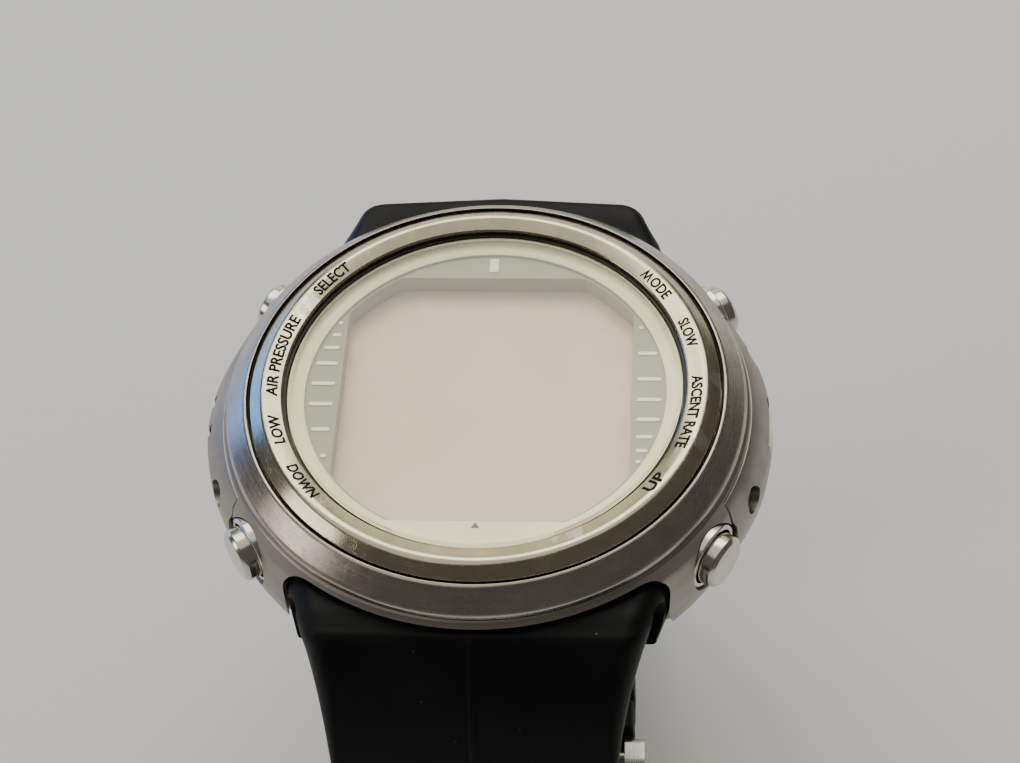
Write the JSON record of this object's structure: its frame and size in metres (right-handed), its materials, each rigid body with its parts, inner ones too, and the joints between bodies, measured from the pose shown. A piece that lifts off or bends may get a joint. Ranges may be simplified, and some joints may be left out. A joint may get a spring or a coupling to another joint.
{
  "type": "dive computer",
  "caption": "Round wrist dive computer with a steel case, four push buttons, a digital display and a buckled rubber strap.",
  "frame": {"origin": "centre of the case back's flat outer face", "axes": "+Z out of the face, +Y to twelve o'clock, +X to three o'clock"},
  "size_m": [0.0508, 0.066, 0.0669],
  "materials": {
    "satin_steel": "satin blasted steel, warm grey",
    "polished_steel": "polished steel with a warm tint",
    "button_steel": "turned and polished steel",
    "spring_steel": "bright drawn steel",
    "glass": "clear mineral glass with a polished bevel",
    "cream_ring": "cream moulded plastic",
    "dial_grey": "grey-green printed plastic with cream ticks",
    "display": "unlit liquid crystal display, pinkish beige",
    "white_plastic": "white moulded plastic",
    "black_rubber": "matt black elastomer",
    "gasket_rubber": "black sealing rubber",
    "circuit_green": "green circuit board",
    "brass": "bare brass",
    "ferrite": "sintered ferrite"
  },
  "bodies": {
    "case": {"case_body": "satin_steel", "case_top_ring": "satin_steel", "bezel": "polished_steel", "bezel_gasket": "gasket_rubber", "crystal": "glass", "crystal_gasket": "gasket_rubber", "dial_flange": "cream_ring", "dial_mask": "dial_grey", "lcd_module": "display", "backlight": "white_plastic", "elastomer_connector": "gasket_rubber", "antenna_rod": "ferrite", "circuit_board": "circuit_green", "module_frame": "white_plastic", "battery": "spring_steel", "battery_contact": "brass", "piezo_buzzer": "brass", "pressure_sensor": "button_steel", "pressure_sensor_o_ring": "gasket_rubber", "side_cover_left": "satin_steel", "side_cover_right": "satin_steel", "cover_screw_left_1": "button_steel", "cover_screw_left_2": "button_steel", "cover_screw_right_1": "button_steel", "cover_screw_right_2": "button_steel", "case_back": "satin_steel", "case_back_o_ring": "gasket_rubber", "back_screw_1": "button_steel", "back_screw_2": "button_steel", "back_screw_3": "button_steel", "back_screw_4": "button_steel", "strap_pin_12": "button_steel", "strap_pin_6": "button_steel", "strap_long": "black_rubber", "strap_short": "black_rubber", "keeper_fixed": "black_rubber", "buckle_bar": "button_steel", "button_sleeve_mode": "polished_steel", "button_spring_mode": "spring_steel", "button_o_ring_mode": "gasket_rubber", "button_sleeve_select": "polished_steel", "button_spring_select": "spring_steel", "button_o_ring_select": "gasket_rubber", "button_sleeve_down": "polished_steel", "button_spring_down": "spring_steel", "button_o_ring_down": "gasket_rubber", "button_sleeve_up": "polished_steel", "button_spring_up": "spring_steel", "button_o_ring_up": "gasket_rubber"},
    "button_mode": {"button_mode": "button_steel", "button_clip_mode": "spring_steel"},
    "button_select": {"button_select": "button_steel", "button_clip_select": "spring_steel"},
    "button_down": {"button_down": "button_steel", "button_clip_down": "spring_steel"},
    "button_up": {"button_up": "button_steel", "button_clip_up": "spring_steel"},
    "buckle": {"buckle_frame": "polished_steel"},
    "tongue": {"buckle_tongue": "polished_steel"},
    "loose_keeper": {"keeper_free": "black_rubber"}
  },
  "joints": [
    {"name": "press_mode", "type": "slide", "parent": "case", "child": "button_mode", "axis": [-0.829, -0.5592, 0], "range_m": [0, 0.001], "stiffness_N_per_m": 2000, "springref_m": -0.0003},
    {"name": "press_select", "type": "slide", "parent": "case", "child": "button_select", "axis": [0.829, -0.5592, 0], "range_m": [0, 0.001], "stiffness_N_per_m": 2000, "springref_m": -0.0003},
    {"name": "press_down", "type": "slide", "parent": "case", "child": "button_down", "axis": [0.829, 0.5592, 0], "range_m": [0, 0.001], "stiffness_N_per_m": 2000, "springref_m": -0.0003},
    {"name": "press_up", "type": "slide", "parent": "case", "child": "button_up", "axis": [-0.829, 0.5592, 0], "range_m": [0, 0.001], "stiffness_N_per_m": 2000, "springref_m": -0.0003},
    {"name": "buckle_swing", "type": "hinge", "parent": "case", "child": "buckle", "pos_m": [0, -0.003, -0.0447], "axis": [1, 0, 0], "range_deg": [0, 10]},
    {"name": "tongue_swing", "type": "hinge", "parent": "buckle", "child": "tongue", "pos_m": [0, -0.003, -0.0447], "axis": [1, 0, 0], "range_deg": [0, 10]},
    {"name": "keeper_slide", "type": "slide", "parent": "case", "child": "loose_keeper", "axis": [0, 1, 0], "range_m": [0, 0.004]}
  ]
}
